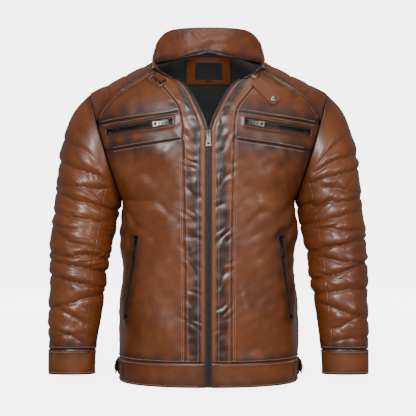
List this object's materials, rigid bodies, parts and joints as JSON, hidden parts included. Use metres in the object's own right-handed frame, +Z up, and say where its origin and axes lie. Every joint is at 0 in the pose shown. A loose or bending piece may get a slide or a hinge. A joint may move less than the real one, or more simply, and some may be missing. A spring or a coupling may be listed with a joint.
{
  "type": "leather riding jacket",
  "caption": "Leather riding jacket with a stand collar, full front zip, slanted chest and side zip pockets, piped shoulder panels, throat strap and side waist adjusters.",
  "frame": {"origin": "middle of the hem's lower edge, halfway between the wearer's left and right and front and back", "axes": "+Z up from hem to collar, +X to the wearer's left, the front faces -Y"},
  "size_m": [0.625, 0.282, 0.7157],
  "materials": {
    "cognac_leather": "satin",
    "burnished_leather": "satin",
    "black_lining": "matte",
    "zip_tape": "matte",
    "antique_nickel": "aged"
  },
  "bodies": {
    "coat": {"front_panel_right": "cognac_leather", "front_panel_left": "cognac_leather", "chest_band_right": "cognac_leather", "chest_band_left": "cognac_leather", "chest_yoke_right": "cognac_leather", "chest_yoke_left": "cognac_leather", "shoulder_panel_right": "cognac_leather", "shoulder_panel_left": "cognac_leather", "yoke_piping": "burnished_leather", "placket_right": "burnished_leather", "placket_left": "burnished_leather", "back_panel": "cognac_leather", "back_yoke": "cognac_leather", "waistband_right": "cognac_leather", "waistband_left": "cognac_leather", "waistband_back": "cognac_leather", "collar_outer": "burnished_leather", "collar_facing": "cognac_leather", "front_facings": "cognac_leather", "body_lining": "black_lining", "neck_patch": "cognac_leather", "neck_label": "black_lining", "size_tag": "black_lining", "zip_tapes": "zip_tape", "zip_chains": "antique_nickel", "zip_stops": "antique_nickel", "chest_zip_tapes": "zip_tape", "chest_zip_chains": "antique_nickel", "side_zip_tapes": "zip_tape", "side_zip_chains": "antique_nickel", "pocket_bags": "black_lining", "throat_tab": "burnished_leather", "throat_socket": "antique_nickel", "waist_tabs": "burnished_leather", "waist_rings": "antique_nickel"},
    "zip_slider": {"zip_slider": "antique_nickel"},
    "zip_pull": {"zip_pull": "antique_nickel"},
    "sleeve_right": {"sleeve_top_right": "cognac_leather", "sleeve_under_right": "cognac_leather", "sleeve_lining_right": "black_lining", "cuff_right": "cognac_leather"},
    "chest_slider_right": {"chest_slider_right": "antique_nickel"},
    "chest_pull_right": {"chest_pull_right": "antique_nickel"},
    "side_slider_right": {"side_slider_right": "antique_nickel"},
    "side_pull_right": {"side_pull_right": "antique_nickel"},
    "waist_strap_right": {"waist_strap_right": "burnished_leather", "waist_snap_right": "antique_nickel"},
    "sleeve_left": {"sleeve_top_left": "cognac_leather", "sleeve_under_left": "cognac_leather", "sleeve_lining_left": "black_lining", "cuff_left": "cognac_leather"},
    "chest_slider_left": {"chest_slider_left": "antique_nickel"},
    "chest_pull_left": {"chest_pull_left": "antique_nickel"},
    "side_slider_left": {"side_slider_left": "antique_nickel"},
    "side_pull_left": {"side_pull_left": "antique_nickel"},
    "waist_strap_left": {"waist_strap_left": "burnished_leather", "waist_snap_left": "antique_nickel"},
    "throat_strap": {"throat_strap": "cognac_leather", "throat_snap": "antique_nickel"},
    "throat_ring": {"throat_ring": "antique_nickel"}
  },
  "joints": [
    {"name": "zip_slide", "type": "slide", "parent": "coat", "child": "zip_slider", "axis": [0, 0, 1], "range_m": [-0.455, 0]},
    {"name": "zip_pull_swing", "type": "hinge", "parent": "zip_slider", "child": "zip_pull", "pos_m": [0, -0.13877, 0.48], "axis": [-1, 0, 0], "range_deg": [0, 150]},
    {"name": "sleeve_raise_right", "type": "hinge", "parent": "coat", "child": "sleeve_right", "pos_m": [-0.2363, 0, 0.567], "axis": [0, 1, 0], "range_deg": [0, 30]},
    {"name": "chest_zip_slide_right", "type": "hinge", "parent": "coat", "child": "chest_slider_right", "pos_m": [-0.05869, 0.11018, 0.50513], "axis": [0.1378, 0, -0.9905], "range_deg": [0, 22.5]},
    {"name": "chest_pull_swing_right", "type": "hinge", "parent": "chest_slider_right", "child": "chest_pull_right", "pos_m": [-0.08311, -0.13202, 0.50173], "axis": [-0.1378, 0, 0.9905], "range_deg": [0, 150]},
    {"name": "side_zip_slide_right", "type": "slide", "parent": "coat", "child": "side_slider_right", "axis": [0.1308, -0.1413, 0.9813], "range_m": [-0.12, 0]},
    {"name": "side_pull_swing_right", "type": "hinge", "parent": "side_slider_right", "child": "side_pull_right", "pos_m": [-0.14181, -0.08829, 0.27096], "axis": [-0.549, 0.8139, 0.1904], "range_deg": [0, 150]},
    {"name": "waist_strap_open_right", "type": "hinge", "parent": "coat", "child": "waist_strap_right", "pos_m": [-0.1812, 0.006, 0.025], "axis": [0, 0, -1], "range_deg": [0, 100]},
    {"name": "sleeve_raise_left", "type": "hinge", "parent": "coat", "child": "sleeve_left", "pos_m": [0.2363, 0, 0.567], "axis": [0, -1, 0], "range_deg": [0, 30]},
    {"name": "chest_zip_slide_left", "type": "hinge", "parent": "coat", "child": "chest_slider_left", "pos_m": [0.05869, 0.11018, 0.50513], "axis": [0.1378, 0, 0.9905], "range_deg": [0, 22.5]},
    {"name": "chest_pull_swing_left", "type": "hinge", "parent": "chest_slider_left", "child": "chest_pull_left", "pos_m": [0.08311, -0.13202, 0.50173], "axis": [-0.1378, 0, -0.9905], "range_deg": [0, 150]},
    {"name": "side_zip_slide_left", "type": "slide", "parent": "coat", "child": "side_slider_left", "axis": [-0.1308, -0.1413, 0.9813], "range_m": [-0.12, 0]},
    {"name": "side_pull_swing_left", "type": "hinge", "parent": "side_slider_left", "child": "side_pull_left", "pos_m": [0.14181, -0.08829, 0.27096], "axis": [-0.549, -0.8139, -0.1904], "range_deg": [0, 150]},
    {"name": "waist_strap_open_left", "type": "hinge", "parent": "coat", "child": "waist_strap_left", "pos_m": [0.1812, 0.006, 0.025], "axis": [0, 0, 1], "range_deg": [0, 100]},
    {"name": "throat_strap_open", "type": "hinge", "parent": "coat", "child": "throat_strap", "pos_m": [0.08994, -0.1069, 0.58343], "axis": [-0.7154, -0.396, -0.5757], "range_deg": [0, 100]},
    {"name": "throat_ring_swing", "type": "hinge", "parent": "coat", "child": "throat_ring", "pos_m": [-0.09572, -0.10346, 0.58659], "axis": [-0.6507, 0.5292, 0.5446], "range_deg": [0, 60]}
  ]
}
